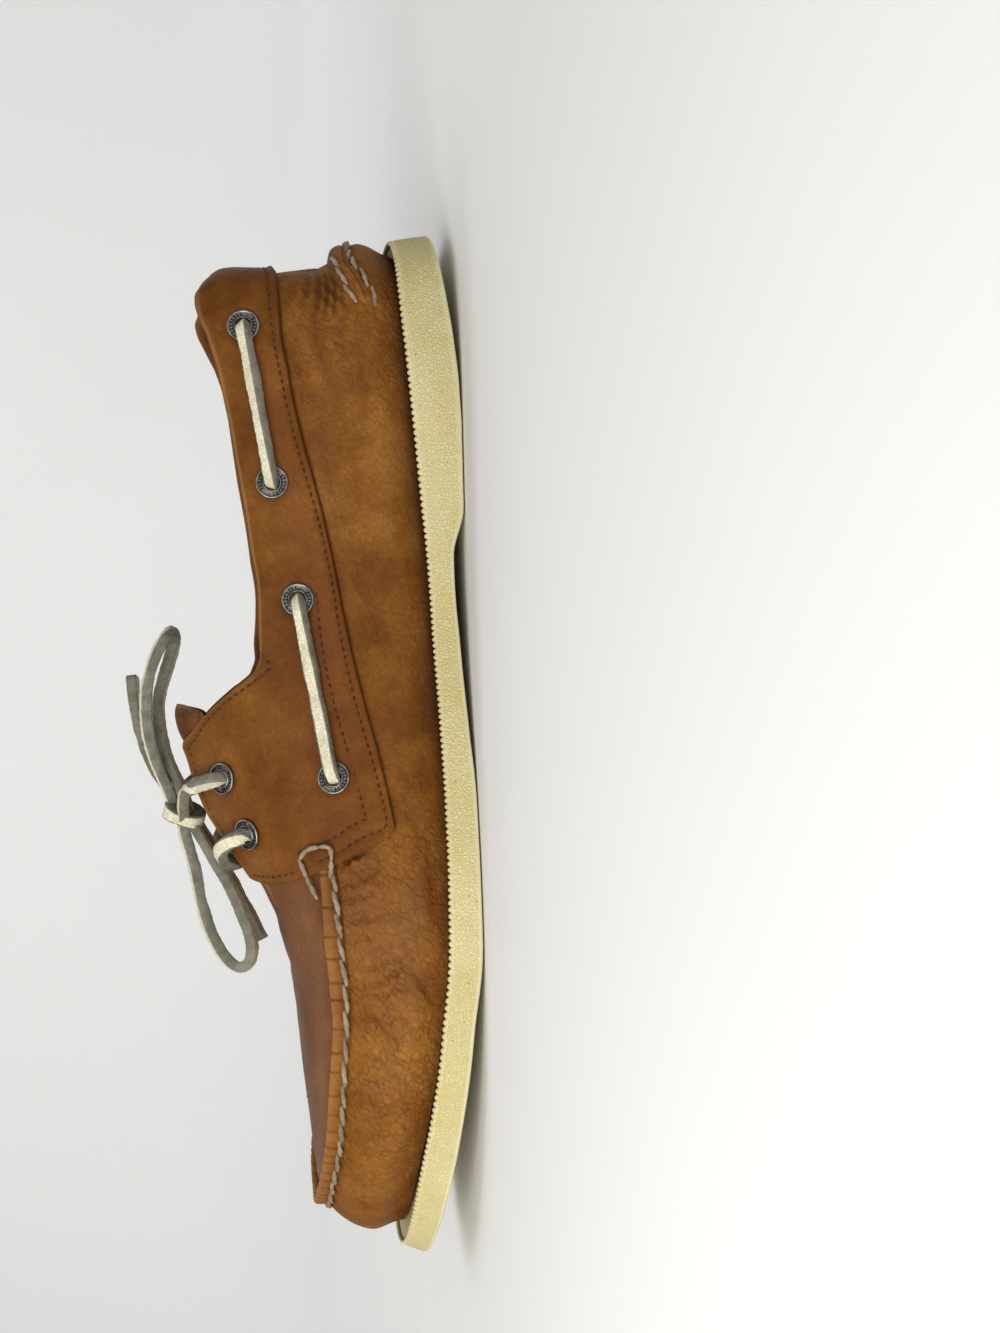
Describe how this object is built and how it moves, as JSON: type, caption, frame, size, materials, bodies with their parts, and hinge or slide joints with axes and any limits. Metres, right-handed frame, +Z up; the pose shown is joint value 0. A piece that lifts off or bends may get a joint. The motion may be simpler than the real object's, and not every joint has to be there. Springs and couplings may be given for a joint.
{
  "type": "boat shoe",
  "caption": "Low leather boat shoe for the left foot, with a moccasin toe, a laced collar band, a rawhide bow and a siped rubber sole.",
  "frame": {"origin": "middle of the heel's flat tread, on the ground", "axes": "+X towards the toe, +Y towards the shoe's outer side (the wearer's left), +Z up"},
  "size_m": [0.3, 0.1077, 0.0955],
  "materials": {
    "leather_upper": "oiled and burnished tan leather",
    "leather_saddle": "oiled tan leather",
    "leather_tongue": "brown leather",
    "sole_rubber": "matte cream rubber, pebbled at the side",
    "insole_leather": "worn brown leather",
    "eyelet_metal": "antique nickel",
    "lace_leather": "rawhide, cream face and grey suede sides"
  },
  "bodies": {
    "root": {"outsole": "sole_rubber", "insole": "insole_leather", "upper": "leather_upper", "collar_saddle": "leather_saddle", "tongue": "leather_tongue", "eyelet_1_outer": "eyelet_metal", "eyelet_2_outer": "eyelet_metal", "eyelet_3_outer": "eyelet_metal", "eyelet_4_outer": "eyelet_metal", "eyelet_5_outer": "eyelet_metal", "eyelet_6_outer": "eyelet_metal", "eyelet_1_inner": "eyelet_metal", "eyelet_2_inner": "eyelet_metal", "eyelet_3_inner": "eyelet_metal", "eyelet_4_inner": "eyelet_metal", "eyelet_5_inner": "eyelet_metal", "eyelet_6_inner": "eyelet_metal", "lace_bar_rear_outer": "lace_leather", "lace_bar_front_outer": "lace_leather", "lace_bar_rear_inner": "lace_leather", "lace_bar_front_inner": "lace_leather", "lace_crossing": "lace_leather", "bow_knot": "lace_leather", "bow_loop_front": "lace_leather", "bow_loop_rear": "lace_leather", "bow_end_front": "lace_leather", "bow_end_rear": "lace_leather", "bow_lead_outer": "lace_leather", "bow_lead_inner": "lace_leather"}
  },
  "joints": []
}
